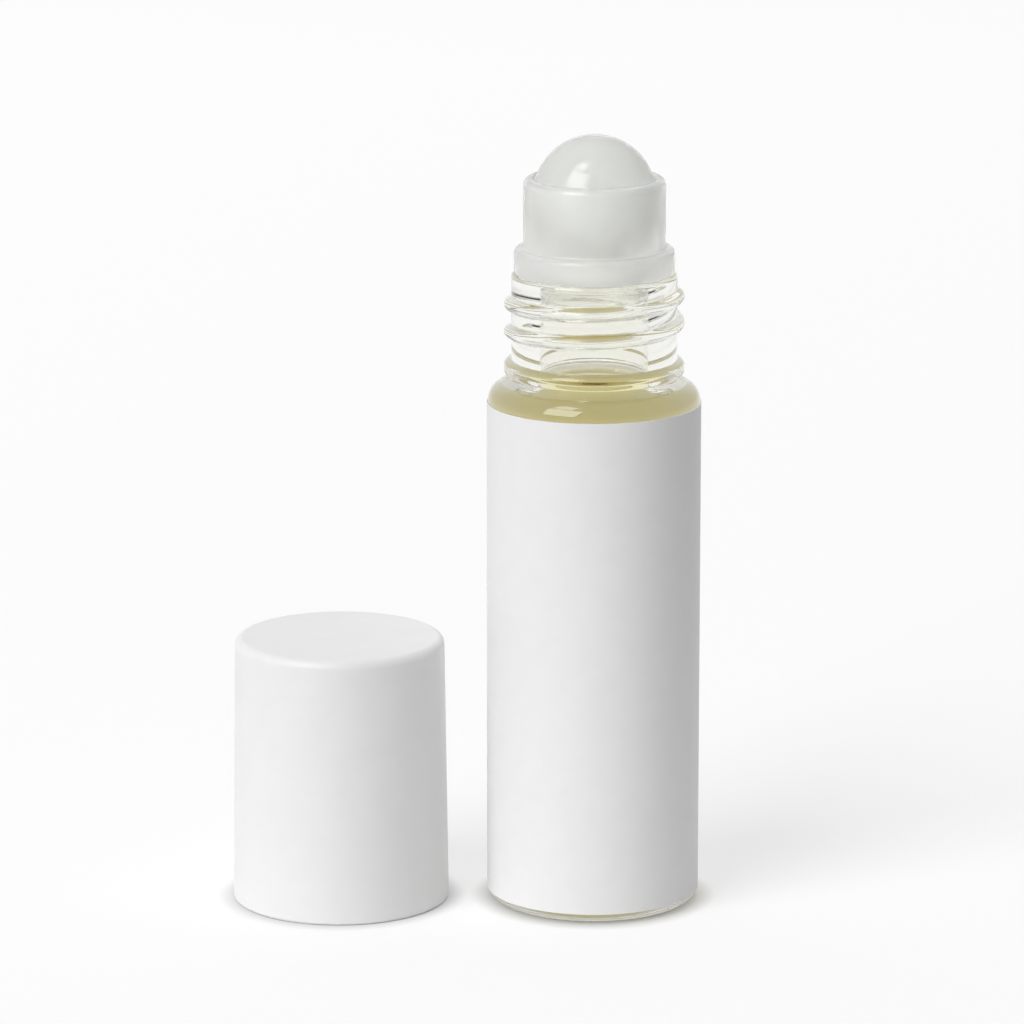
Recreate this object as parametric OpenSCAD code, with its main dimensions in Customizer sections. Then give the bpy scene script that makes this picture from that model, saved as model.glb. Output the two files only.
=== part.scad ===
// Glass roll-on bottle, filled and uncapped, with its screw cap standing beside it.
// Millimetres. The origin is the centre of the bottle's base on the table, and +Z is up.
// The cap stands on its mouth, on the -X side of the bottle.

/* [Glass body] */
// Outer diameter of the glass body
body_d = 20; // [18:0.1:24]
// Height of the shoulder's top above the table
shoulder_h = 50.4; // [40:0.1:80]
// Thickness of the glass round the body
body_wall = 1.4; // [1:0.1:2]
// Thickness of the glass between the shoulder's top and the inside
shoulder_wall = 1.4; // [1:0.1:2]
// Height of the inside floor above the table
floor_h = 2.4; // [1.6:0.1:4]
// Radius round the inside floor
floor_r = 1.6; // [0.6:0.1:2.4]
// Share of the step between the body and the neck that the shoulder's rounding takes
shoulder_share = 0.84; // [0.6:0.02:0.9]
// Radius of the heel between the body and the base
heel_r = 1.2; // [0.6:0.1:1.8]
// Depth of the hollow under the base
push_up_h = 1; // [0.2:0.1:1.2]
// Diameter of the hollow under the base
push_up_d = 13; // [8:0.5:14]

/* [Neck finish] */
// Outer diameter of the bare neck
neck_d = 15.6; // [14.6:0.1:16.4]
// Height of the neck from the shoulder's top to the lip
neck_h = 10.4; // [9:0.1:14]
// Diameter of the bore through the neck
neck_bore_d = 10.2; // [9.6:0.1:10.8]
// Diameter over the bead, which the thread's crest shares
finish_d = 17; // [16.6:0.1:17.4]
// Height of the bead under the thread
bead_h = 1.5; // [1.2:0.1:2.4]
// Height of the bead's centre above the shoulder's top
bead_rise = 1.36; // [1.2:0.01:2.4]
// Radius where the bore flares into the body
flare_r = 0.9; // [0.4:0.1:1.2]
// Rounding outside the lip
lip_r = 0.4; // [0.2:0.1:0.6]
// Rounding inside the lip, which leads the plug in
lip_in_r = 0.3; // [0.1:0.1:0.5]

/* [Paper label] */
// Depth of the label's upper edge below the shoulder's top
label_drop = 1.95; // [1.9:0.05:20]
// Height of the label's lower edge above the table
label_rise = 1; // [1:0.1:3]
// Thickness of the label with its adhesive
label_t = 0.1; // [0.05:0.05:0.2]
// Width of the lap at the back, where the label's outer end lies over its inner end
label_lap_w = 3; // [1:0.1:6]

/* [Fragrance oil] */
// Height of the air between the oil's surface and the plug
fill_gap = 7.05; // [1:0.05:30]

/* [Roller ball] */
// Diameter of the ball
ball_d = 11.6; // [10:0.1:12.2]
// Height of the ball's lowest point above the glass lip
ball_lift = 1.4; // [1:0.1:3]
// Depth of the ball's centre below the rim that holds it in
ball_sink = 1.8; // [1.4:0.1:2.4]
// Gap between the ball and its socket
ball_clearance = 0.05; // [0.04:0.01:0.1]

/* [Roller housing] */
// Wall round the ball at its widest
cup_wall = 0.9; // [0.6:0.05:1]
// Rounding outside the rim
cup_edge_r = 0.7; // [0.3:0.05:0.75]
// Radius of the bead round the rim that holds the ball in
rim_r = 0.35; // [0.2:0.05:0.4]
// Depth that the rim's bead stands into the socket
rim_bite = 0.02; // [0.01:0.005:0.03]
// Height of the flange that sits on the glass lip
flange_h = 2.4; // [1.5:0.1:3]
// Step from the neck's side in to the flange's side
flange_inset = 0.23; // [0.1:0.01:0.4]
// Rounding of the flange's upper edge
flange_edge_r = 0.6; // [0.2:0.1:0.6]
// Fillet between the flange and the cup
cup_root_r = 0.25; // [0.1:0.05:0.4]
// Length of the plug below the glass lip
plug_l = 2.6; // [2:0.1:7]
// Gap between the plug's side and the neck bore
plug_clearance = 0.1; // [0.05:0.01:0.2]
// Wall of the plug
plug_wall = 0.9; // [0.6:0.1:1.4]
// Height of each sealing bead on the plug
seal_h = 0.7; // [0.5:0.1:1]
// Squeeze of the sealing beads in the neck bore
seal_squeeze = 0.04; // [0.01:0.01:0.08]
// Number of sealing beads
seal_count = 1; // [1:1:3]
// Diameter of the feed hole under the ball
feed_d = 5; // [4.2:0.1:6]
// Thickness of the seat's web, measured down from the ball's lowest point
seat_web = 0.7; // [0.5:0.1:1]
// Number of feed grooves across the seat
groove_count = 4; // [3:1:8]
// Width of each feed groove
groove_w = 0.9; // [0.5:0.1:1.2]
// Depth of each feed groove
groove_depth = 0.35; // [0.2:0.05:0.5]

/* [Screw cap] */
// Wall of the cap's skirt
cap_wall = 1.4; // [1.2:0.1:1.8]
// Thickness of the cap's top
cap_top_t = 1.5; // [1.2:0.1:2]
// Draft of the skirt, in degrees
cap_draft = 0.83; // [0:0.01:1]
// Rounding of the cap's top edge
cap_edge_r = 0.8; // [0.4:0.1:1.1]
// Rounding of the skirt's end at the mouth
cap_mouth_r = 0.3; // [0.1:0.1:0.5]
// Rounding between the skirt and the top on the inside
cap_corner_r = 0.7; // [0.3:0.1:1.2]
// Gap between the thread's crest and the skirt at the mouth
cap_thread_clearance = 0.41; // [0.3:0.01:0.6]
// Gap between the shoulder and the closed cap's mouth
cap_seat_gap = 0.2; // [0.1:0.05:1]
// Gap between the ball's top and the closed cap's top
ball_top_gap = 0.9; // [0.5:0.1:2]
// Outer diameter of the ring that holds the ball down when the cap is closed
press_ring_d = 5.6; // [4:0.1:7]
// Wall of that ring
press_ring_wall = 0.8; // [0.6:0.1:1]
// Gap between the label and the cap that stands beside the bottle
cap_stand_gap = 3.68; // [2:0.01:20]

/* [Hidden] */
$fn = 128;
overrun = 0.5;
half_share = 0.5;

body_r = body_d / 2;
neck_r = neck_d / 2;
neck_bore_r = neck_bore_d / 2;
finish_r = finish_d / 2;
shoulder_step = body_r - neck_r;
shoulder_r = shoulder_step * shoulder_share;
root_r = shoulder_step - shoulder_r;
bead_z = shoulder_h + bead_rise;
bead_edge_r = min(finish_r - neck_r, bead_h / 2);
lip_z = shoulder_h + neck_h;

cavity_r = body_r - body_wall;
cavity_top_z = shoulder_h - shoulder_wall;
cavity_shoulder_r = cavity_r - neck_bore_r - flare_r;
push_up_r = push_up_d / 2;
push_up_sphere_r = (pow(push_up_r, 2) + pow(push_up_h, 2)) / (2 * push_up_h);

label_r = body_r + label_t;
label_lap_r = label_r + label_t;
label_h = shoulder_h - label_drop - label_rise;

ball_r = ball_d / 2;
ball_z = lip_z + ball_lift + ball_r;
ball_top_z = ball_z + ball_r;
socket_r = ball_r + ball_clearance;
rim_z = ball_z + ball_sink;
rim_arc_z = rim_z - rim_r;
rim_arc_x = sqrt(pow(socket_r + rim_r - rim_bite, 2) - pow(rim_arc_z - ball_z, 2));

cup_r = ball_r + cup_wall;
flange_r = neck_r - flange_inset;
flange_z = lip_z + flange_h;
plug_r = neck_bore_r - plug_clearance;
plug_bore_r = plug_r - plug_wall;
plug_z = lip_z - plug_l;
plug_lead_r = plug_wall / 2;
fill_h = plug_z - fill_gap;
seal_r = neck_bore_r + seal_squeeze;
seal_step = (plug_l - plug_lead_r) / (seal_count + 1);
feed_r = feed_d / 2;
web_z = lip_z + ball_lift - seat_web;

cap_bore_r = finish_r + cap_thread_clearance;
cap_r = cap_bore_r + cap_wall;
cap_seat_z = shoulder_h + cap_seat_gap;
cap_depth = ball_top_z + ball_top_gap - cap_seat_z;
cap_h = cap_depth + cap_top_t;
cap_x = -(label_r + cap_stand_gap + cap_r);
press_ring_r = press_ring_d / 2;
press_ring_mid_r = press_ring_r - press_ring_wall / 2;
press_ring_z = ball_z + sqrt(pow(ball_r, 2) - pow(press_ring_mid_r, 2)) - cap_seat_z;

// Half section of a round block from the axis out to r, with its outer corners rounded
module block_section(r, z_low, z_top, low_r = 0, top_r = 0) {
    polygon([
        [0, z_low],
        [r - low_r, z_low],
        [r, z_low + low_r],
        [r, z_top - top_r],
        [r - top_r, z_top],
        [0, z_top]
    ]);
    if (low_r > 0) translate([r - low_r, z_low + low_r]) circle(r = low_r);
    if (top_r > 0) translate([r - top_r, z_top - top_r]) circle(r = top_r);
}

// Half section of a fillet in the corner at [x, z], which opens outward and upward
module fillet_section(x, z, r) {
    translate([x, z]) difference() {
        square(r);
        translate([r, r]) circle(r = r);
    }
}

// Outside of the glass, filled in
module glass_section() {
    block_section(body_r, 0, shoulder_h, heel_r, shoulder_r);
    block_section(neck_r, floor_h, lip_z, 0, lip_r);
    fillet_section(neck_r, shoulder_h, root_r);
    block_section(finish_r, bead_z - bead_h / 2, bead_z + bead_h / 2, bead_edge_r, bead_edge_r);
}

// Room inside the glass, up through the lip
module cavity_section() {
    block_section(cavity_r, floor_h, cavity_top_z, floor_r, cavity_shoulder_r);
    block_section(neck_bore_r, floor_h, lip_z + overrun);
    fillet_section(neck_bore_r, cavity_top_z, flare_r);
    difference() {
        translate([0, lip_z - lip_in_r]) square([neck_bore_r + lip_in_r, lip_in_r + overrun]);
        translate([neck_bore_r + lip_in_r, lip_z - lip_in_r]) circle(r = lip_in_r);
    }
}

module glass_bottle() {
    color([0.84, 0.88, 0.85, 0.45])
    rotate_extrude() difference() {
        glass_section();
        cavity_section();
        translate([0, push_up_h - push_up_sphere_r]) circle(r = push_up_sphere_r);
    }
}

// Plan of the label: one turn of paper, and a second layer where its ends lap at the back
module label_plan() {
    difference() {
        union() {
            circle(r = label_r);
            intersection() {
                circle(r = label_lap_r);
                translate([-label_lap_w / 2, 0]) square([label_lap_w, label_lap_r]);
            }
        }
        circle(r = body_r);
    }
}

module paper_label() {
    color([0.96, 0.96, 0.96])
    translate([0, 0, label_rise]) linear_extrude(label_h) label_plan();
}

module fragrance_oil() {
    color([0.83, 0.77, 0.50, 0.7])
    rotate_extrude() intersection() {
        cavity_section();
        square([cavity_r, fill_h]);
    }
}

// Way out for the ball: everything above the line from its centre to the middle of the rim's bead
module rim_opening_section() {
    polygon([
        [0, ball_z],
        [rim_arc_x, rim_arc_z],
        [rim_arc_x, rim_z + overrun],
        [0, rim_z + overrun]
    ]);
}

module housing_section() {
    difference() {
        union() {
            block_section(flange_r, lip_z, flange_z, 0, flange_edge_r);
            block_section(cup_r, lip_z, rim_z, 0, cup_edge_r);
            fillet_section(cup_r, flange_z, cup_root_r);
            block_section(plug_r, plug_z, flange_z, plug_lead_r);
            for (i = [1 : seal_count])
                translate([seal_r - seal_h / 2, plug_z + plug_lead_r + i * seal_step]) circle(d = seal_h);
        }
        translate([0, ball_z]) circle(r = socket_r);
        rim_opening_section();
        translate([0, plug_z - overrun]) square([plug_bore_r, web_z - plug_z + overrun]);
        translate([0, plug_z]) square([feed_r, ball_z - plug_z]);
    }
    translate([rim_arc_x, rim_arc_z]) circle(r = rim_r);
}

// Grooves that let the oil past the seat ring, under the lower half of the ball
module feed_grooves() {
    intersection() {
        translate([0, 0, ball_z]) sphere(r = socket_r + groove_depth);
        for (i = [0 : groove_count - 1])
            rotate([0, 0, (i + half_share) * 360 / groove_count])
                translate([0, -groove_w / 2, web_z])
                    cube([cup_r, groove_w, ball_z - ball_sink - web_z]);
    }
}

module roller_housing() {
    color([0.85, 0.86, 0.83, 0.9])
    difference() {
        rotate_extrude() housing_section();
        feed_grooves();
    }
}

module roller_ball() {
    color([0.89, 0.90, 0.88])
    translate([0, 0, ball_z]) sphere(r = ball_r);
}

// Half section of a tapered block from the axis out, with its outer corners rounded
module tapered_section(r, z_low, z_top, low_r, top_r) {
    top_x = r - (z_top - top_r - z_low) * tan(cap_draft);
    polygon([
        [0, z_low],
        [r - low_r, z_low],
        [r, z_low + low_r],
        [top_x, z_top - top_r],
        [top_x - top_r, z_top],
        [0, z_top]
    ]);
    if (low_r > 0) translate([r - low_r, z_low + low_r]) circle(r = low_r);
    translate([top_x - top_r, z_top - top_r]) circle(r = top_r);
}

module cap_section() {
    difference() {
        tapered_section(cap_r, 0, cap_h, cap_mouth_r, cap_edge_r);
        tapered_section(cap_bore_r, 0, cap_depth, 0, cap_corner_r);
        translate([0, -overrun]) square([cap_bore_r, 2 * overrun]);
    }
    translate([press_ring_r - press_ring_wall, press_ring_z])
        square([press_ring_wall, cap_depth + cap_top_t / 2 - press_ring_z]);
}

module screw_cap() {
    color([0.95, 0.95, 0.94])
    translate([cap_x, 0, 0]) rotate_extrude() cap_section();
}

glass_bottle();
paper_label();
fragrance_oil();
roller_housing();
roller_ball();
screw_cap();
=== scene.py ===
# %% [markdown]
# A glass roll-on bottle, filled and uncapped, with its screw cap standing beside it.
# The real object is six pieces: a moulded glass bottle, a paper label round it, the oil inside,
# a plastic housing pressed into the neck, the ball that the housing holds, and the cap.
# The measured solids are loaded first. They fix where everything is and how it moves.
# Each solid is then replaced by a piece with more detail, in the same place and of the same size.

# %% Load the measured solids
import math

import bmesh
import bpy
from mathutils import Matrix, Vector


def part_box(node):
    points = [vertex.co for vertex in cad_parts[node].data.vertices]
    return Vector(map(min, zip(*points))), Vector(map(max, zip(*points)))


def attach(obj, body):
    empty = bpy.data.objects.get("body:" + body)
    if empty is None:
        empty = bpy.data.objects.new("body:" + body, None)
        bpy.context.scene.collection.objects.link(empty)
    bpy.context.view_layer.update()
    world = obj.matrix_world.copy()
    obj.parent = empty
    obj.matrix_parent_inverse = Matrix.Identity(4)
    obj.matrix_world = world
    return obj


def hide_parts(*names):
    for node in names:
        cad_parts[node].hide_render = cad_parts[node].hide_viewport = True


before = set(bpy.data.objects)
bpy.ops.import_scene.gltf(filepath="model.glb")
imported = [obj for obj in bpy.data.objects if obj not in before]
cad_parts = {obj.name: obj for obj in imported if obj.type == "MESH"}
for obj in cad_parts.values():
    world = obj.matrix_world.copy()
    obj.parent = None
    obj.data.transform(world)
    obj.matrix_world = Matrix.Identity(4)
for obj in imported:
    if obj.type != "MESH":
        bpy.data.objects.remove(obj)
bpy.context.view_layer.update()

# %% [markdown]
# Every size is written in millimetres, as on a maker's drawing, and is turned into Blender's
# metres only once, when a mesh is finished. Heights are above the table, and a radius is measured
# from the bottle's own axis. Sizes that touch each other are worked out from one another. Points
# closer than TOUCH count as being in the same place.

# %% Sizes of the glass, its label and the oil
MM = 0.001
TOUCH = 0.01
BODY_R, SHOULDER_Z, NECK_R, BORE_R, FINISH_R = 10.0, 50.4, 7.8, 5.1, 8.5
SHOULDER_R = 1.848
ROOT_R = BODY_R - NECK_R - SHOULDER_R
LIP_Z = SHOULDER_Z + 10.4
BEAD_Z, BEAD_H = SHOULDER_Z + 1.36, 1.5
CAVITY_R, CAVITY_TOP_Z, FLOOR_Z, FLOOR_R, FLARE_R = 8.6, 49.0, 2.4, 1.6, 0.9
BEAD_EDGE_R, BEAD_ROOT_R, LIP_OUTER_R, LIP_INNER_R = 0.6, 0.09, 0.4, 0.3
HEEL_R, PUSH_UP_H, PUSH_UP_R = 1.2, 1.0, 6.5
LABEL_LOW, LABEL_TOP, LABEL_T, LABEL_LAP_W, LABEL_EDGE_R = 1.0, 48.45, 0.1, 3.0, 0.03
FILL_Z, CLIMB, CLIMB_W, CLIMB_R, WET_GAP = 51.15, 0.55, 0.12, 0.5, 0.02
print("lip at", LIP_Z, "mm, oil to", FILL_Z, "mm")

# %% Sizes of the housing, the ball and the cap
BALL_R, BALL_Z, SOCKET_R = 5.8, 68.0, 5.85
RIM_Z, RIM_R, RIM_BITE = 69.8, 0.35, 0.02
RIM_AWAY, RIM_UP = SOCKET_R + RIM_R - RIM_BITE, RIM_Z - RIM_R - BALL_Z
RIM_X = math.sqrt(RIM_AWAY ** 2 - RIM_UP ** 2)
CUP_R, CUP_EDGE_R, CUP_ROOT_R = 6.7, 0.69, 0.25
FLANGE_R, FLANGE_Z, FLANGE_EDGE_R, FLANGE_FOOT_R = 7.57, 63.2, 0.6, 0.12
PLUG_R, PLUG_Z, PLUG_EDGE_R, PLUG_ROOT_R, SEAL_EDGE_R = 5.0, 58.2, 0.45, 0.05, 0.04
PLUG_BORE_R, PLUG_BORE_EDGE_R, WEB_Z, WEB_ROOT_R = 4.1, 0.44, 61.5, 0.2
FEED_R, FEED_EDGE_R = 2.5, 0.12
CAP_X, CAP_R, CAP_BORE_R, CAP_H, CAP_DEPTH = -24.09, 10.31, 8.91, 25.6, 24.1
CAP_EDGE_R, CAP_FOOT_R, CAP_MOUTH_R, CAP_INNER_R = 0.8, 0.3, 0.2, 0.7
CAP_DRAFT = math.tan(math.radians(0.83))
RING_R, RING_WALL, RING_Z, RING_EDGE_R, RING_ROOT_R = 2.8, 0.8, 22.68, 0.2, 0.15
print("ball's top at", BALL_Z + BALL_R, "mm, cap", 2 * CAP_R, "mm across")

# %% [markdown]
# Nearly every piece here was turned, blown or moulded round an axis. So each one starts as an
# outline: a few corner points joined by edges, seen from the side. A vertex bevel with a profile
# of 0.5 rounds a corner to an arc, and a longer arc is one point spun about its centre.
# The finished outline is then spun a full turn round the axis. Every face is shaded smooth, and
# a Weighted Normal modifier keeps the wide flat ones looking flat.

# %% Draw an outline and round its corners
def draw_outline(*steps, closed=False):
    """A step is a corner, from at(), or an arc that starts at the point before it, from arc()."""
    bm, corners, last = bmesh.new(), [], None
    for step in steps:
        if "turn" in step:
            spun = bmesh.ops.spin(
                bm, geom=[last], cent=step["centre"], axis=(0, -1, 0), dvec=(0, 0, 0),
                angle=step["turn"], steps=step["segments"], use_merge=False,
                use_normal_flip=False, use_duplicate=False,
            )
            last = spun["geom_last"][0]
        else:
            vert = bm.verts.new((step["x"], 0, step["z"]))
            if last:
                bm.edges.new((last, vert))
            last = vert
        corners.append((last, step["rounding"], step["segments"]))
    if closed:
        bm.edges.new((last, corners[0][0]))
    for vert, rounding, segments in corners:
        if rounding:
            round_corner(bm, vert, rounding, segments)
    return bm


def round_corner(bm, vert, rounding, segments):
    a, b = [(e.other_vert(vert).co - vert.co).normalized() for e in vert.link_edges]
    bmesh.ops.bevel(
        bm, geom=[vert], offset=rounding / math.tan(a.angle(b) / 2), offset_type="OFFSET",
        affect="VERTICES", segments=segments, profile=0.5, material=-1, clamp_overlap=False,
    )


def at(x, z, rounding=0, segments=1):
    return {"x": x, "z": z, "rounding": rounding, "segments": segments}


def arc(x, z, degrees, segments):
    turn = math.radians(degrees)
    return {"centre": (x, 0, z), "turn": turn, "rounding": 0, "segments": segments}


print("outline helpers ready")

# %% Spin an outline, and make a mesh into a piece
FULL_TURN = 2 * math.pi
ON_AXIS, SAME_POINT = 1e-3, 1e-4


def spin_outline(bm, steps):
    """A full turn from the back, merged at its seam and its poles."""
    for vert in bm.verts:
        if vert.co.x < ON_AXIS:
            vert.co.x = 0.0
    to_back = Matrix.Rotation(FULL_TURN / 4, 3, "Z")
    bmesh.ops.rotate(bm, verts=bm.verts, cent=(0, 0, 0), matrix=to_back)
    bmesh.ops.spin(
        bm, geom=bm.verts[:] + bm.edges[:], cent=(0, 0, 0), axis=(0, 0, 1), dvec=(0, 0, 0),
        angle=FULL_TURN, steps=steps, use_merge=True, use_normal_flip=False,
        use_duplicate=False,
    )
    bmesh.ops.remove_doubles(bm, verts=bm.verts, dist=SAME_POINT)
    bmesh.ops.recalc_face_normals(bm, faces=bm.faces)


def make_piece(bm, name, body, node, x=0):
    """Writes the mesh in metres, in place of a measured solid, and hands it to its body."""
    bmesh.ops.translate(bm, verts=bm.verts, vec=(x, 0, 0))
    bmesh.ops.scale(bm, verts=bm.verts, vec=(MM, MM, MM))
    open_edges = sum(not e.is_manifold for e in bm.edges)
    for face in bm.faces:
        face.smooth = True
    mesh = bpy.data.meshes.new(name)
    bm.to_mesh(mesh)
    bm.free()
    piece = bpy.data.objects.new(name, mesh)
    bpy.context.scene.collection.objects.link(piece)
    shading = piece.modifiers.new("Flat faces shade flat", "WEIGHTED_NORMAL")
    shading.mode, shading.weight = "FACE_AREA", 50
    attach(piece, body)
    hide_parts(node)
    corners = [Vector(c) for c in piece.bound_box]
    low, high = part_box(node)
    off = max(abs(min(c[i] for c in corners) - low[i]) for i in range(3))
    off = max(off, *(abs(max(c[i] for c in corners) - high[i]) for i in range(3)))
    print(name, len(mesh.polygons), "faces,", open_edges, "open edges")
    print("its box is off the solid's by", round(off / MM, 3), "mm")
    return piece


print("piece helpers ready")

# %% [markdown]
# The screw thread is a low ridge that climbs the neck. It could be a second mesh joined on by a
# boolean, but a boolean leaves a hard crease where real moulded glass flows. So the neck is given
# many fine rings, and the points near the thread's path are simply pushed outwards.
# The cap's own thread is pushed inwards by the same rule, half a pitch lower, so the two mate.
# Angles count from the bottle's right side, so its front is three quarters of a turn round.

# %% The thread's path and its ridge
THREAD_LEAD, THREAD_SWAY, THREAD_FRONT_Z = 2.6, 0.2, 55.66
THREAD_START, THREAD_END = math.radians(180 - 28), math.radians(2 * 360 + 24)
THREAD_RISE, THREAD_HALF_W, THREAD_TAPER = 0.7, 0.68, math.radians(30)
TIP_SHARE, CREST_POWER, FLANK_POWER = 0.55, 2.4, 0.8
FRONT_TURN = 0.75


def thread_height(turn):
    """Height of the ridge's centre at an angle of turn that counts on past a full turn."""
    climb = THREAD_LEAD * (turn / FULL_TURN - FRONT_TURN)
    return THREAD_FRONT_Z + climb - THREAD_SWAY * math.cos(turn)


def ease(t):
    t = min(max(t, 0.0), 1.0)
    return t * t * (3 - 2 * t)


def thread_lift(x, y, z, half_w=THREAD_HALF_W, drop=0.0):
    """Share of the ridge's full height at a point: 1 on its crest, 0 away from it."""
    lift, turn = 0.0, math.atan2(y, x)
    while turn < THREAD_END:
        if turn > THREAD_START:
            run_in, run_out = turn - THREAD_START, THREAD_END - turn
            taper = ease(run_in / THREAD_TAPER) * ease(run_out / THREAD_TAPER)
            reach = half_w * (TIP_SHARE + (1 - TIP_SHARE) * taper)
            off = abs(z - thread_height(turn) + drop) / reach
            if off < 1:
                lift = max(lift, taper * (1 - off ** CREST_POWER) ** FLANK_POWER)
        turn += FULL_TURN
    return lift


def add_rings(bm, low, high, cuts):
    """Cuts the one long edge of an outline that spans these heights into fine rings."""
    for edge in bm.edges[:]:
        ends = sorted(v.co.z for v in edge.verts)
        if abs(ends[0] - low) < TOUCH and abs(ends[1] - high) < TOUCH:
            bmesh.ops.subdivide_edges(bm, edges=[edge], cuts=cuts)


print("thread turns:", round((THREAD_END - THREAD_START) / FULL_TURN, 2))

# %% [markdown]
# The glass is one closed wall: up the outside from the hollow under the base to the lip, and back
# down the inside to the floor. The hollow is part of a large ball, so its arc is one point spun
# about that ball's centre. The wall inside the oil gets a second material slot, because light
# bends much less between glass and oil than between glass and air. The wall under the label gets
# a third, because adhesive fills the gap there and light goes straight on into the paper.

# %% Outline of the glass
HOLLOW_R = (PUSH_UP_R ** 2 + PUSH_UP_H ** 2) / (2 * PUSH_UP_H)
CLEAR_OF_BEAD, CLEAR_OF_LIP = 0.15, 0.42
RINGS_LOW, RINGS_TOP = BEAD_Z + BEAD_H / 2 + CLEAR_OF_BEAD, LIP_Z - CLEAR_OF_LIP
glass = draw_outline(
    at(0, PUSH_UP_H),
    arc(0, PUSH_UP_H - HOLLOW_R, -math.degrees(math.asin(PUSH_UP_R / HOLLOW_R)), 10),
    at(BODY_R, 0, HEEL_R, 9),
    at(BODY_R, LABEL_TOP),
    at(BODY_R, SHOULDER_Z, SHOULDER_R, 16),
    at(NECK_R, SHOULDER_Z, ROOT_R, 5),
    at(NECK_R, BEAD_Z - BEAD_H / 2, BEAD_ROOT_R, 3),
    at(FINISH_R, BEAD_Z - BEAD_H / 2, BEAD_EDGE_R, 8),
    at(FINISH_R, BEAD_Z + BEAD_H / 2, BEAD_EDGE_R, 8),
    at(NECK_R, BEAD_Z + BEAD_H / 2, BEAD_ROOT_R, 3),
    at(NECK_R, RINGS_LOW),
    at(NECK_R, RINGS_TOP),
    at(NECK_R, LIP_Z, LIP_OUTER_R, 5),
    at(BORE_R, LIP_Z, LIP_INNER_R, 5),
    at(BORE_R, FILL_Z + CLIMB),
    at(BORE_R, CAVITY_TOP_Z, FLARE_R, 9),
    at(CAVITY_R, CAVITY_TOP_Z, CAVITY_R - BORE_R - FLARE_R, 14),
    at(CAVITY_R, FLOOR_Z, FLOOR_R, 8),
    at(0, FLOOR_Z),
)
add_rings(glass, RINGS_LOW, RINGS_TOP, cuts=92)
print("glass outline:", len(glass.verts), "points")

# %% Spin the glass and raise its thread
spin_outline(glass, steps=288)
for vert in glass.verts:
    out = math.hypot(vert.co.x, vert.co.y)
    if out > NECK_R - TOUCH and vert.co.z > RINGS_LOW - TOUCH:
        grow = 1 + THREAD_RISE * thread_lift(*vert.co) / out
        vert.co.x, vert.co.y = vert.co.x * grow, vert.co.y * grow
for face in glass.faces:
    middle = face.calc_center_median()
    out = math.hypot(middle.x, middle.y)
    if FLOOR_Z - TOUCH < middle.z < FILL_Z + CLIMB and out < CAVITY_R + TOUCH:
        face.material_index = 1
    elif HEEL_R < middle.z < LABEL_TOP:
        face.material_index = 2
bottle = make_piece(glass, "bottle_glass", "bottle", "glass_bottle")

# %% [markdown]
# The label is a strip of coated paper, wrapped once round the glass. Its outer end laps over its
# inner end at the back by three millimetres, and shows there as a thin step. The outline is as
# thin as the paper, and the points under the lap are pushed out by one thickness of paper.

# %% Wrap the label
label = draw_outline(
    at(BODY_R + TOUCH, LABEL_LOW),
    at(BODY_R + LABEL_T, LABEL_LOW, LABEL_EDGE_R, 2),
    at(BODY_R + LABEL_T, LABEL_TOP, LABEL_EDGE_R, 2),
    at(BODY_R + TOUCH, LABEL_TOP),
    closed=True,
)
spin_outline(label, steps=480)
for vert in label.verts:
    out = math.hypot(vert.co.x, vert.co.y)
    if out > BODY_R + LABEL_T / 2 and vert.co.y > 0 and abs(vert.co.x) < LABEL_LAP_W / 2:
        grow = (out + LABEL_T) / out
        vert.co.x, vert.co.y = vert.co.x * grow, vert.co.y * grow
for face in label.faces:
    middle = face.calc_center_median()
    face.material_index = int(math.hypot(middle.x, middle.y) < BODY_R + LABEL_T / 4)
wrap = make_piece(label, "wrap_label", "bottle", "paper_label")

# %% [markdown]
# The oil follows the inside of the glass, a hair's breadth away, so that the two never share a
# face. It wets glass, so at its surface it climbs the wall in a small curve. Each face of that
# open surface is marked in an attribute, because only there does the light pass to air.

# %% Pour the oil
OIL_R, OIL_NECK_R, OIL_TOP_Z = CAVITY_R - WET_GAP, BORE_R - WET_GAP, CAVITY_TOP_Z - WET_GAP
oil = draw_outline(
    at(0, FLOOR_Z + WET_GAP),
    at(OIL_R, FLOOR_Z + WET_GAP, FLOOR_R - WET_GAP, 8),
    at(OIL_R, OIL_TOP_Z, CAVITY_R - BORE_R - FLARE_R - WET_GAP, 14),
    at(OIL_NECK_R, OIL_TOP_Z, FLARE_R + WET_GAP, 9),
    at(OIL_NECK_R, FILL_Z + CLIMB),
    at(BORE_R - CLIMB_W, FILL_Z, CLIMB_R, 10),
    at(0, FILL_Z),
)
OPEN_MARK, AT_WALL = "open_surface", 0.002
spin_outline(oil, steps=240)
open_surface = oil.faces.layers.float.new(OPEN_MARK)
for face in oil.faces:
    middle = face.calc_center_median()
    off_wall = OIL_NECK_R - math.hypot(middle.x, middle.y)
    face[open_surface] = float(middle.z > FILL_Z - TOUCH and off_wall > AT_WALL)
liquid = make_piece(oil, "poured_oil", "bottle", "fragrance_oil")

# %% [markdown]
# The housing is one soft plastic moulding. Its plug seals in the neck, its flange sits on the glass
# lip, and its cup holds the ball under a rim that the ball snaps past. Four grooves across the
# seat let the oil past. They are made by pushing the socket's points outwards, as a mould's
# small ribs would. The point where the socket's arc meets the rim's rounding is worked out from
# the triangle that it makes with their two centres.

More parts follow.
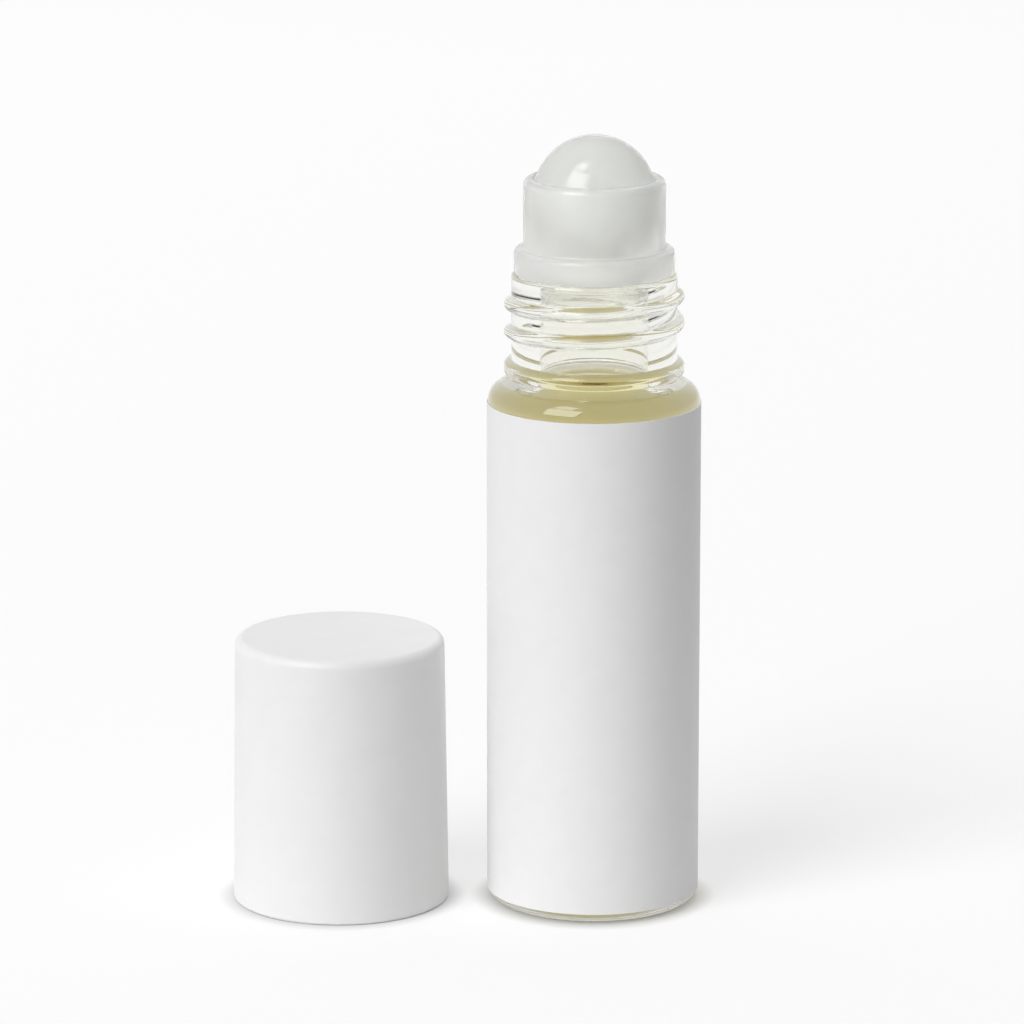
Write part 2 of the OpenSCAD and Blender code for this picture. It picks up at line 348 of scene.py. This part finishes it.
# %% Outline of the housing
SEAT_Z = BALL_Z - math.sqrt(SOCKET_R ** 2 - FEED_R ** 2)
MEET = math.asin(RIM_UP / RIM_AWAY) - math.acos(
    (SOCKET_R ** 2 + RIM_AWAY ** 2 - RIM_R ** 2) / (2 * SOCKET_R * RIM_AWAY)
)
SEAT_TURN = 90 - math.degrees(math.asin(FEED_R / SOCKET_R) - MEET)
RIM_TURN = -270 - math.degrees(
    math.atan2(SOCKET_R * math.sin(MEET) - RIM_UP, SOCKET_R * math.cos(MEET) - RIM_X)
)
SEAL_Z, SEAL_HALF_H, SEAL_FACE_HALF_H = 59.725, 0.2, 0.1
SEAL = [
    (PLUG_R, SEAL_Z + SEAL_HALF_H),
    (BORE_R - TOUCH, SEAL_Z + SEAL_FACE_HALF_H),
    (BORE_R - TOUCH, SEAL_Z - SEAL_FACE_HALF_H),
    (PLUG_R, SEAL_Z - SEAL_HALF_H),
]
housing = draw_outline(
    at(FEED_R, WEB_Z, FEED_EDGE_R, 3),
    at(FEED_R, SEAT_Z),
    arc(0, BALL_Z, SEAT_TURN, 44),
    arc(RIM_X, RIM_Z - RIM_R, RIM_TURN, 14),
    at(CUP_R, RIM_Z, CUP_EDGE_R, 9),
    at(CUP_R, FLANGE_Z, CUP_ROOT_R, 5),
    at(FLANGE_R, FLANGE_Z, FLANGE_EDGE_R, 8),
    at(FLANGE_R, LIP_Z + TOUCH, FLANGE_FOOT_R, 3),
    at(PLUG_R, LIP_Z + TOUCH, PLUG_ROOT_R, 2),
    *(at(x, z, SEAL_EDGE_R, 2) for x, z in SEAL),
    at(PLUG_R, PLUG_Z, PLUG_EDGE_R, 6),
    at(PLUG_BORE_R, PLUG_Z, PLUG_BORE_EDGE_R, 6),
    at(PLUG_BORE_R, WEB_Z, WEB_ROOT_R, 4),
    closed=True,
)
print("housing outline:", len(housing.verts), "points")
print("seat turns", round(SEAT_TURN, 2), "degrees, rim", round(RIM_TURN, 2))

# %% Spin the housing and press its feed grooves
GROOVE_HALF_W, GROOVE_DEPTH, GROOVE_TOP_Z = 0.45, 0.35, BALL_Z - 1.8
GROOVE_STEEP, GROOVE_RUN_OUT = 2.2, 0.3
spin_outline(housing, steps=256)
for vert in housing.verts:
    from_ball = vert.co - Vector((0, 0, BALL_Z))
    if abs(from_ball.length - SOCKET_R) < TOUCH and vert.co.z < GROOVE_TOP_Z:
        aside = min(abs(abs(vert.co.x) - abs(vert.co.y)) / math.sqrt(2), GROOVE_HALF_W)
        across = ease(GROOVE_STEEP * (1 - aside / GROOVE_HALF_W))
        along = ease((GROOVE_TOP_Z - vert.co.z) / GROOVE_RUN_OUT)
        vert.co += from_ball.normalized() * GROOVE_DEPTH * across * along
holder = make_piece(housing, "ball_housing", "bottle", "roller_housing")

# %% [markdown]
# The ball is solid moulded plastic, ground round. Its outline is half a circle from pole to pole.

# %% Turn the ball
ball = draw_outline(at(0, BALL_Z - BALL_R), arc(0, BALL_Z, 180, 96))
spin_outline(ball, steps=192)
roller = make_piece(ball, "roller", "ball", "roller_ball")

# %% [markdown]
# The cap is one moulding too: a skirt with a slight draft so that it leaves its mould, a rounded
# top, a thread inside, and a small ring under the top that presses on the ball when it is closed.

# %% Outline of the cap
CAP_RINGS_LOW, CAP_RINGS_TOP = 1.7, 8.3
cap = draw_outline(
    at(0, CAP_H),
    at(CAP_R - (CAP_H - CAP_EDGE_R) * CAP_DRAFT, CAP_H, CAP_EDGE_R, 9),
    at(CAP_R, 0, CAP_FOOT_R, 5),
    at(CAP_BORE_R, 0, CAP_MOUTH_R, 4),
    at(CAP_BORE_R - CAP_RINGS_LOW * CAP_DRAFT, CAP_RINGS_LOW),
    at(CAP_BORE_R - CAP_RINGS_TOP * CAP_DRAFT, CAP_RINGS_TOP),
    at(CAP_BORE_R - CAP_DEPTH * CAP_DRAFT, CAP_DEPTH, CAP_INNER_R, 7),
    at(RING_R, CAP_DEPTH, RING_ROOT_R, 3),
    at(RING_R, RING_Z, RING_EDGE_R, 4),
    at(RING_R - RING_WALL, RING_Z, RING_EDGE_R, 4),
    at(RING_R - RING_WALL, CAP_DEPTH, RING_ROOT_R, 3),
    at(0, CAP_DEPTH),
)
add_rings(cap, CAP_RINGS_LOW, CAP_RINGS_TOP, cuts=74)
print("cap outline:", len(cap.verts), "points")

# %% Spin the cap and raise its inner thread
CAP_ON_Z, CAP_CREST_R, CAP_HALF_W = SHOULDER_Z + 0.2, 7.95, 0.7
spin_outline(cap, steps=256)
for vert in cap.verts:
    out = math.hypot(vert.co.x, vert.co.y)
    threaded = CAP_RINGS_LOW - TOUCH < vert.co.z < CAP_RINGS_TOP + TOUCH
    if threaded and out < CAP_BORE_R + TOUCH:
        share = thread_lift(*vert.co, half_w=CAP_HALF_W, drop=CAP_ON_Z + THREAD_LEAD / 2)
        shrink = 1 - (out - CAP_CREST_R) * share / out
        vert.co.x, vert.co.y = vert.co.x * shrink, vert.co.y * shrink
lid = make_piece(cap, "cap_moulding", "cap", "screw_cap", x=CAP_X)

# %% [markdown]
# Colours are written as they look on a screen, in hex, and one function turns them into the
# linear values that light needs. Patterns read Object coordinates, which are metres on these
# pieces, so a pattern's scale comes from the real size of its grain in millimetres.
# One small function adds every node, with its settings and the nodes that it is linked from.
# Most of a noise lies between 0.3 and 0.7, so that span is spread over the range that is wanted.

# %% Colour, grain and node helpers
def linear(hex_colour):
    channels = (int(hex_colour[i:i + 2], 16) / 255 for i in (0, 2, 4))
    return (*(c / 12.92 if c <= 0.04045 else ((c + 0.055) / 1.055) ** 2.4 for c in channels), 1.0)


def per_mm(size):
    return 1 / (size * MM)


def add(tree, kind, inputs=None, **settings):
    """Adds one shader node. An input is a plain value, or the node or socket to link from."""
    node = tree.nodes.new("ShaderNode" + kind)
    for key, value in settings.items():
        setattr(node, key, value)
    for key, value in (inputs or {}).items():
        if isinstance(value, bpy.types.Node):
            value = value.outputs[0]
        if isinstance(value, bpy.types.NodeSocket):
            tree.links.new(value, node.inputs[key])
        else:
            node.inputs[key].default_value = value
    return node


def new_finish(name):
    finish = bpy.data.materials.new(name)
    finish.use_nodes = True
    finish.node_tree.nodes.clear()
    return finish, finish.node_tree


WHITE = linear("FFFFFF")
NOISE_SPAN = {"From Min": 0.3, "From Max": 0.7}
print("mid grey in linear light:", round(linear("808080")[0], 3))

# %% [markdown]
# The bottle is moulded soda-lime glass, and such glass is mostly its bend of light, about 1.52.
# It is never quite flat, so a long, very shallow wave goes into its bump. Cycles stops lamps at
# glass, which would leave the housing's plug in the dark, so rays that only ask about shadow or
# soft light pass straight through.
# Where the glass is wet, only the step from glass to oil is left, 1.52 over 1.46. Under the label
# the glue fills the gap, so that wall bends nothing.

# %% Let soft light and shadow rays go straight on
def let_light_through(tree, surface, shadow=1.0, soft=1.0, from_inside=False):
    """Ends a material. Shadow and soft are the shares of those rays that it doesn't stop.

    With from_inside, only rays that come from behind the face get through.
    """
    clear = add(tree, "BsdfTransparent", {"Color": WHITE})
    ray = add(tree, "LightPath").outputs
    lamps = add(tree, "Math", {0: ray["Is Shadow Ray"], 1: shadow}, operation="MULTIPLY")
    share = add(tree, "Math", {0: ray["Is Diffuse Ray"], 1: soft, 2: lamps}, operation="MULTIPLY_ADD")
    if from_inside:
        inside = add(tree, "NewGeometry").outputs["Backfacing"]
        share = add(tree, "Math", {0: share, 1: inside}, operation="MULTIPLY")
    mixed = add(tree, "MixShader", {0: share, 1: surface, 2: clear})
    add(tree, "OutputMaterial", {"Surface": mixed})


print("light helper ready")

# %% Clear glass, dry and wet
GLASS_BEND, OIL_BEND = 1.52, 1.46
WAVE_LENGTH_MM, WAVE_HEIGHT_MM = 5.0, 0.03
GLASS_TINT = linear("F8F8F3")


def glass_finish(name, bend, wavy):
    finish, tree = new_finish(name)
    values = {"Base Color": GLASS_TINT, "Roughness": 0.0, "IOR": bend, "Transmission Weight": 1.0}
    if wavy:
        place = add(tree, "TexCoord").outputs["Object"]
        wave = {"Vector": place, "Scale": per_mm(WAVE_LENGTH_MM), "Detail": 1.0}
        bump = {"Height": add(tree, "TexNoise", wave), "Distance": WAVE_HEIGHT_MM * MM}
        values["Normal"] = add(tree, "Bump", bump)
    let_light_through(tree, add(tree, "BsdfPrincipled", values))
    return finish


dry = glass_finish("moulded clear glass", GLASS_BEND, wavy=True)
wet = glass_finish("moulded clear glass inside the oil", GLASS_BEND / OIL_BEND, wavy=False)
stuck, tree = new_finish("moulded clear glass under the label")
add(tree, "OutputMaterial", {"Surface": add(tree, "BsdfTransparent", {"Color": WHITE})})
for finish in (dry, wet, stuck):
    bottle.data.materials.append(finish)
print("glass slots:", [m.name for m in bottle.data.materials])

# %% [markdown]
# The oil's colour lies in its depth: a drop is nearly clear, and a full bottle is pale gold. So it
# has no surface colour. It takes away mostly blue light along each ray's way through it.
# Its side faces let rays straight in from the glass, and only the open surface bends them.

# %% Pale gold oil
oil_finish, tree = new_finish("pale gold fragrance oil")
bend = add(tree, "BsdfPrincipled", {
    "Base Color": WHITE, "Roughness": 0.0, "IOR": OIL_BEND, "Transmission Weight": 1.0,
})
straight = add(tree, "BsdfTransparent", {"Color": WHITE})
ray = add(tree, "LightPath").outputs
asks = add(tree, "Math", {0: ray["Is Shadow Ray"], 1: ray["Is Diffuse Ray"]}, operation="MAXIMUM")
marked = add(tree, "Attribute", attribute_name=OPEN_MARK, attribute_type="GEOMETRY").outputs["Fac"]
bends = add(tree, "Math", {0: marked, 1: asks}, operation="SUBTRACT", use_clamp=True)
mixed = add(tree, "MixShader", {0: bends, 1: straight, 2: bend})
depth = add(tree, "VolumeAbsorption", {"Color": linear("F8E959"), "Density": 62.0})
add(tree, "OutputMaterial", {"Surface": mixed, "Volume": depth})
liquid.data.materials.append(oil_finish)
print("oil finish ready")

# %% [markdown]
# Label paper is matte and very white, with a fibre grain far finer than a millimetre and a faint
# cloudiness where the pulp lies thicker. Its glued side has a finish of its own. It shows the
# light that comes through the paper from outside, and that is what makes the oil look gold at the
# shoulder. Rays from inside get out to that light, but rays from outside stop at the white
# face, so no gold leaks out through it.

# %% Coated paper
PAPER_SHADOW, PAPER_SOFT, GLUE_SHARE = 0.8, 0.55, 0.5
PULP_MM, FIBRE_MM, RIPPLE_MM = 1.8, 0.12, 7.0
paper, tree = new_finish("coated label paper")
place = add(tree, "TexCoord").outputs["Object"]
pulp = add(tree, "TexNoise", {"Vector": place, "Scale": per_mm(PULP_MM), "Detail": 3.0})
fibre = add(tree, "TexNoise", {"Vector": place, "Scale": per_mm(FIBRE_MM), "Detail": 4.0})
ripple = add(tree, "TexNoise", {"Vector": place, "Scale": per_mm(RIPPLE_MM), "Detail": 1.0})
cloud = add(tree, "MapRange", {"Value": pulp, **NOISE_SPAN})
matte = add(tree, "MapRange", {"Value": fibre, **NOISE_SPAN, "To Min": 0.5, "To Max": 0.68})
tone = add(tree, "Mix", {0: cloud, "A": linear("E8E8E8"), "B": linear("EAEAEA")}, data_type="RGBA")
rough = add(tree, "Bump", {"Height": fibre, "Strength": 0.35, "Distance": 0.01 * MM})
relief = add(tree, "Bump", {
    "Height": ripple, "Strength": 0.5, "Distance": 0.015 * MM, "Normal": rough,
})
face = add(tree, "BsdfPrincipled", {
    "Base Color": tone.outputs["Result"], "Roughness": matte,
    "Specular IOR Level": 0.35, "Normal": relief,
})
let_light_through(tree, face, shadow=PAPER_SHADOW, soft=PAPER_SOFT, from_inside=True)
wrap.data.materials.append(paper)
glued, tree = new_finish("glued side of the label paper")
shows = add(tree, "BsdfTranslucent", {"Color": linear("F9F9F8")})
let_light_through(tree, shows, shadow=GLUE_SHARE, soft=GLUE_SHARE)
wrap.data.materials.append(glued)
print("paper finish ready")

# %% [markdown]
# The housing is moulded in natural polyethylene, which is soft enough to seal the neck, and the
# ball and the cap are polypropylene. Such milky plastic scatters light inside, which is
# subsurface scattering. By itself it came out dark on the side away from the lamps, so in the
# housing and the ball much of the light takes a rough bend, as in frosted glass, and some shadow
# rays pass. A thin clear coat gives the soft highlight of a polished mould. The plug is clearer
# than the cup, as it comes from a smoother part of the mould. The cap is filled with white
# pigment, so nothing goes through it.

# %% A finish for moulded plastics
MOTTLE_MM, CLEAR_EDGE_MM, CLEAR_MATTE = 2.5, 0.2, 0.12


def plastic_finish(name, colours, rough, grain_mm, bump_mm, values, passes=0.0, clear_below=0.0):
    """Values go straight to the shader. Below a height, clear_below, the plastic is clearer."""
    finish, tree = new_finish(name)
    place = add(tree, "TexCoord").outputs["Object"]
    mottle = add(tree, "TexNoise", {"Vector": place, "Scale": per_mm(MOTTLE_MM), "Detail": 2.0})
    skin = add(tree, "TexNoise", {"Vector": place, "Scale": per_mm(grain_mm), "Detail": 3.0})
    cloud = add(tree, "MapRange", {"Value": mottle, **NOISE_SPAN})
    matte = add(tree, "MapRange", {
        "Value": skin, **NOISE_SPAN, "To Min": rough[0], "To Max": rough[1],
    })
    pale, deep = (linear(colour) for colour in colours)
    tone = add(tree, "Mix", {0: cloud, "A": pale, "B": deep}, data_type="RGBA")
    bump = add(tree, "Bump", {"Height": skin, "Strength": 0.5, "Distance": bump_mm * MM})
    if clear_below:
        height = add(tree, "SeparateXYZ", {0: place}).outputs["Z"]
        low, high = (clear_below - CLEAR_EDGE_MM) * MM, clear_below * MM
        edge = {"Value": height, "From Min": low, "From Max": high}
        satin = add(tree, "MapRange", {**edge, "To Min": CLEAR_MATTE, "To Max": 1.0})
        matte = add(tree, "Math", {0: matte, 1: satin}, operation="MULTIPLY")
        through = {**edge, "To Min": 1.0, "To Max": values["Transmission Weight"]}
        values = {**values, "Transmission Weight": add(tree, "MapRange", through)}
    surface = add(tree, "BsdfPrincipled", {
        "Base Color": tone.outputs["Result"], "Roughness": matte,
        "Subsurface Radius": (1.0, 1.0, 1.0), "Normal": bump, **values,
    })
    if passes:
        let_light_through(tree, surface, shadow=passes, soft=passes)
    else:
        add(tree, "OutputMaterial", {"Surface": surface})
    return finish


print("plastic helper ready")

# %% The three plastics
MILKY = {"Subsurface Weight": 1.0, "Coat Weight": 0.8, "Coat Roughness": 0.08}
CLEAR_BELOW_Z = LIP_Z - 0.2
holder.data.materials.append(plastic_finish(
    "moulded natural polyethylene", ("F3F4F0", "F5F6F2"), rough=(0.72, 0.8),
    grain_mm=0.25, bump_mm=0.012, passes=0.8, clear_below=CLEAR_BELOW_Z,
    values={"IOR": 1.3, "Transmission Weight": 0.65, "Subsurface Scale": 4.0 * MM, **MILKY},
))
roller.data.materials.append(plastic_finish(
    "ground milky polypropylene", ("EFF0ED", "F1F2EF"), rough=(0.5, 0.56),
    grain_mm=0.4, bump_mm=0.004, passes=0.6,
    values={"IOR": 1.25, "Transmission Weight": 0.6, "Subsurface Scale": 1.5 * MM, **MILKY},
))
lid.data.materials.append(plastic_finish(
    "moulded white polypropylene", ("E8E8E8", "EAEAEA"), rough=(0.36, 0.44),
    grain_mm=0.2, bump_mm=0.01,
    values={"IOR": 1.5, "Subsurface Weight": 0.4, "Subsurface Scale": 0.6 * MM},
))
print("plastic finishes ready")

# %% [markdown]
# The floor is one wide white sheet with the object's soft shadow on it. To the camera, and in
# glass and gloss, part of its white is a glow, which is only seen and never lights the object.
# Within two millimetres of a piece, ambient occlusion darkens the glow into a painted contact
# shadow, where no light gets under it. The glow grows far away, where the lamps don't reach, so
# that the sheet meets the sky without a line. Soft light bounces up most from near the object,
# as it does from a small white table.

# %% A white floor
FLOOR_HALF, UNDERSHADE_MM, SEEN_TONE = 4.0, 2.0, 0.42
floor_mesh = bmesh.new()
bmesh.ops.create_grid(floor_mesh, x_segments=2, y_segments=2, size=FLOOR_HALF)
sheet = bpy.data.meshes.new("floor")
floor_mesh.to_mesh(sheet)
floor_mesh.free()
floor = bpy.data.objects.new("floor", sheet)
bpy.context.scene.collection.objects.link(floor)
print("floor sheet", 2 * FLOOR_HALF, "m across")

# %% The floor's white
floor_finish, tree = new_finish("white floor sheet")
ray = add(tree, "LightPath").outputs
seen = add(tree, "Math", {0: ray["Is Camera Ray"], 1: ray["Is Glossy Ray"]}, operation="MAXIMUM")
seen = add(tree, "Math", {0: seen, 1: ray["Is Transmission Ray"]}, operation="MAXIMUM")
place = add(tree, "TexCoord").outputs["Object"]
far = add(tree, "VectorMath", {0: place}, operation="LENGTH").outputs["Value"]
back = add(tree, "SeparateXYZ", {0: place}).outputs["Y"]
glow = add(tree, "MapRange", {
    "Value": back, "From Min": 0.0, "From Max": 0.5, "To Min": 0.59, "To Max": 0.64,
})
lost = add(tree, "MapRange", {
    "Value": far, "From Min": 0.8, "From Max": 3.0, "To Min": 0.0, "To Max": 0.16,
})
bounce = add(tree, "MapRange", {
    "Value": far, "From Min": 0.06, "From Max": 0.35, "To Min": 0.95, "To Max": 0.3,
})
glow = add(tree, "Math", {0: glow, 1: lost}, operation="ADD")
# Painted contact shadow: ambient occlusion darkens the seen glow next to each piece.
shade = add(tree, "AmbientOcclusion", {"Distance": UNDERSHADE_MM * MM}, samples=8)
glow = add(tree, "Math", {0: glow, 1: shade.outputs["AO"]}, operation="MULTIPLY")
glow = add(tree, "Math", {0: seen, 1: glow}, operation="MULTIPLY")
tone = add(tree, "Mix", {"Factor": seen, "A": bounce, "B": SEEN_TONE}, data_type="FLOAT")
lit = add(tree, "BsdfDiffuse", {"Color": tone})
shine = add(tree, "Emission", {"Color": WHITE, "Strength": glow})
add(tree, "OutputMaterial", {"Surface": add(tree, "AddShader", {0: lit, 1: shine})})
sheet.materials.append(floor_finish)
print("floor ready")

# %% [markdown]
# The light is a small studio: a large soft box in front on the left, a small one overhead, and
# pale walls. The walls are the world, and the brightest is behind the object. What gloss and
# glass see of them is white, with darker patches behind the camera and at both sides, because
# clear glass only shows where light and dark meet.

# %% The world
BACKDROP_WHITE = 0.98
world = bpy.data.worlds.new("pale studio")
bpy.context.scene.world = world
world.use_nodes = True
tree = world.node_tree
tree.nodes.clear()
way = add(tree, "SeparateXYZ", {0: add(tree, "TexCoord").outputs["Generated"]}).outputs
ray = add(tree, "LightPath").outputs
behind = add(tree, "MapRange", {
    "Value": way["Y"], "From Min": -0.75, "From Max": -0.2, "To Min": 0.65, "To Max": 1.0,
})
aside = add(tree, "Math", {0: way["X"]}, operation="ABSOLUTE")
sides = add(tree, "MapRange", {
    "Value": aside, "From Min": 0.3, "From Max": 0.8, "To Min": 1.0, "To Max": 0.72,
})
soft = add(tree, "MapRange", {
    "Value": way["Y"], "From Min": 0.1, "From Max": 0.6, "To Min": 0.25, "To Max": 0.9,
})
mirror = add(tree, "Math", {0: behind, 1: sides}, operation="MULTIPLY")
mirrors = {0: ray["Is Glossy Ray"], 1: ray["Is Transmission Ray"]}
seen = add(tree, "Math", mirrors, operation="MAXIMUM")
shown = add(tree, "Mix", {"Factor": seen, "A": soft, "B": mirror}, data_type="FLOAT")
backdrop = {"Factor": ray["Is Camera Ray"], "A": shown, "B": BACKDROP_WHITE}
level = add(tree, "Mix", backdrop, data_type="FLOAT")
sky = add(tree, "Background", {"Color": WHITE, "Strength": level})
add(tree, "OutputWorld", {"Surface": sky})
print("world ready")

# %% The lamps
LIT_POINT = Vector((-0.008, 0, 0.04))


def soft_box(name, way, distance, size, power):
    """A square lamp out along way from the middle of the two pieces, turned to face it."""
    data = bpy.data.lights.new(name, "AREA")
    data.shape, data.size, data.energy = "SQUARE", size, power
    lamp = bpy.data.objects.new(name, data)
    way = Vector(way).normalized()
    lamp.location = LIT_POINT + way * distance
    lamp.rotation_euler = way.to_track_quat("Z", "Y").to_euler()
    lamp.visible_camera = False
    bpy.context.scene.collection.objects.link(lamp)


soft_box("front left", (-0.527, -0.628, 0.574), distance=3.5, size=2.2, power=83.0)
soft_box("overhead", (-0.343, -0.28, 0.897), distance=2.4, size=0.7, power=7.5)

# %% [markdown]
# The camera stands half a metre away, looks 13.5 degrees down, and has a long lens. Its place and
# its lens were fitted to the outlines of the bottle and the cap in the photograph.

# %% The camera
LOOK_DOWN = 0.235
lens = bpy.data.cameras.new("camera")
lens.sensor_width, lens.lens = 36.0, 211.64
camera = bpy.data.objects.new("camera", lens)
camera.location = (-0.00772, -0.5535, 0.1702)
camera.rotation_euler = (math.pi / 2 - LOOK_DOWN, 0, 0)
bpy.context.scene.collection.objects.link(camera)
bpy.context.scene.camera = camera
bpy.context.scene.view_settings.view_transform = "Standard"
print("camera looks down by", round(math.degrees(LOOK_DOWN), 1), "degrees")
